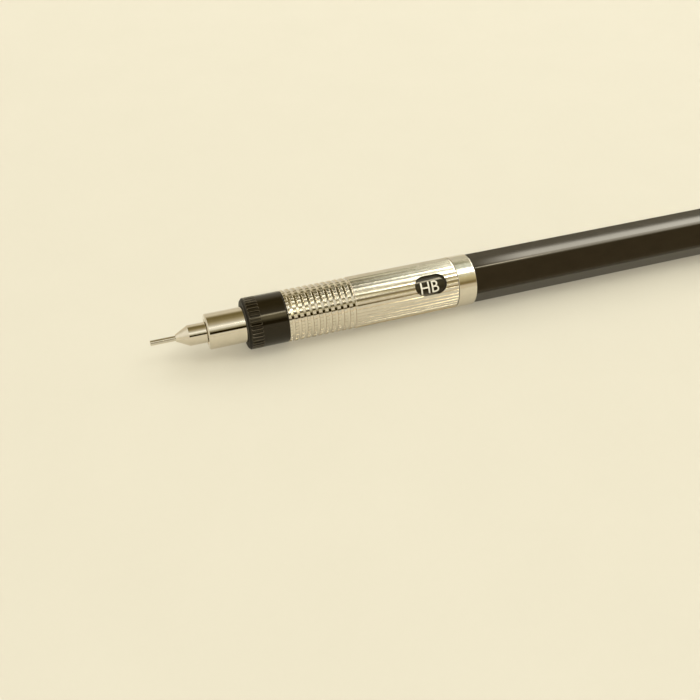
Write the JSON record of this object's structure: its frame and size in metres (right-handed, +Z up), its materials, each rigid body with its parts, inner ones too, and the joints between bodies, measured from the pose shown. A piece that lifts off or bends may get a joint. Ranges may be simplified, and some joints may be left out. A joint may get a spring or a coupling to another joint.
{
  "type": "mechanical pencil",
  "caption": "Mechanical drafting pencil with knurled metal grip, turning lead-grade dial, hexagonal barrel, pocket clip and push button.",
  "frame": {"origin": "on the table under the middle of the pencil's bounding box", "axes": "X along the pencil with the writing tip towards -X, Z up, the clip on the +Y side; the pencil lies on its round bands"},
  "size_m": [0.142, 0.0106, 0.0091],
  "materials": {
    "sleeve_steel": "polished",
    "nose_chrome": "polished",
    "seal_rubber": "matt",
    "dial_black": "satin",
    "grip_metal": "satin, knurled and reeded",
    "band_chrome": "polished",
    "tube_brass": "turned",
    "barrel_plastic": "gloss",
    "clip_chrome": "polished",
    "chuck_brass": "turned",
    "spring_steel": "drawn wire",
    "tank_plastic": "satin",
    "graphite": "dark polymer and graphite",
    "eraser_vinyl": "matt",
    "button_chrome": "polished"
  },
  "bodies": {
    "pencil_body": {"lead_sleeve": "sleeve_steel", "tip_cone": "nose_chrome", "lead_retainer": "seal_rubber", "front_ferrule": "nose_chrome", "dial_friction_ring": "seal_rubber", "grip": "grip_metal", "grip_band": "band_chrome", "inner_tube": "tube_brass", "barrel": "barrel_plastic", "clip_band": "band_chrome", "rear_ferrule": "band_chrome"},
    "grade_dial": {"dial_ring": "dial_black", "grade_sleeve": "dial_black"},
    "clip": {"clip_arm": "clip_chrome"},
    "knock_unit": {"chuck_stem": "chuck_brass", "tank_connector": "tank_plastic", "lead_tank": "tank_plastic", "spare_lead_1": "graphite", "spare_lead_2": "graphite", "return_spring": "spring_steel"},
    "jaw_1": {"chuck_jaw_1": "chuck_brass"},
    "jaw_2": {"chuck_jaw_2": "chuck_brass"},
    "jaw_3": {"chuck_jaw_3": "chuck_brass"},
    "clutch": {"clutch_ring": "chuck_brass"},
    "lead": {"lead": "graphite"},
    "button": {"push_button": "button_chrome"},
    "eraser_unit": {"eraser_holder": "sleeve_steel", "eraser": "eraser_vinyl"}
  },
  "joints": [
    {"name": "dial_turn", "type": "hinge", "parent": "pencil_body", "child": "grade_dial", "pos_m": [-0.052, -0.00074, 0.00454], "axis": [1, 0, 0], "continuous": true},
    {"name": "clip_flex", "type": "hinge", "parent": "pencil_body", "child": "clip", "pos_m": [0.0499, 0.00303, 0.00237], "axis": [0, -0.5, -0.866], "range_deg": [0, 3], "stiffness_Nm_per_rad": 3, "springref_deg": -2.86},
    {"name": "knock", "type": "slide", "parent": "pencil_body", "child": "knock_unit", "axis": [-1, 0, 0], "range_m": [0, 0.0035], "stiffness_N_per_m": 600, "springref_m": -0.004, "deforming": ["return_spring"]},
    {"name": "clutch_slide", "type": "slide", "parent": "pencil_body", "child": "clutch", "axis": [-1, 0, 0], "range_m": [0, 0.0009]},
    {"name": "jaw_open_1", "type": "hinge", "parent": "knock_unit", "child": "jaw_1", "pos_m": [-0.0479, -0.00074, 0.00504], "axis": [0, 1, 0], "range_deg": [0, 3]},
    {"name": "jaw_open_2", "type": "hinge", "parent": "knock_unit", "child": "jaw_2", "pos_m": [-0.0479, -0.00117, 0.00429], "axis": [0, -0.5, 0.866], "range_deg": [0, 3]},
    {"name": "jaw_open_3", "type": "hinge", "parent": "knock_unit", "child": "jaw_3", "pos_m": [-0.0479, -0.00031, 0.00429], "axis": [0, -0.5, -0.866], "range_deg": [0, 3]},
    {"name": "lead_feed", "type": "slide", "parent": "pencil_body", "child": "lead", "axis": [-1, 0, 0], "range_m": [0, 0.0009]},
    {"name": "cap_pull", "type": "slide", "parent": "knock_unit", "child": "button", "axis": [1, 0, 0], "range_m": [0, 0.02]},
    {"name": "eraser_pull", "type": "slide", "parent": "knock_unit", "child": "eraser_unit", "axis": [1, 0, 0], "range_m": [0, 0.007]}
  ],
  "couplings": [
    {"joint": "clutch_slide", "follows": "knock", "ratio": 0.25714},
    {"joint": "lead_feed", "follows": "knock", "ratio": 0.25714},
    {"joint": "eraser_pull", "follows": "cap_pull", "ratio": 0.35},
    {"joint": "jaw_open_1", "follows": "knock", "rad_per_m": 14.958},
    {"joint": "jaw_open_2", "follows": "knock", "rad_per_m": 14.958},
    {"joint": "jaw_open_3", "follows": "knock", "rad_per_m": 14.958}
  ]
}
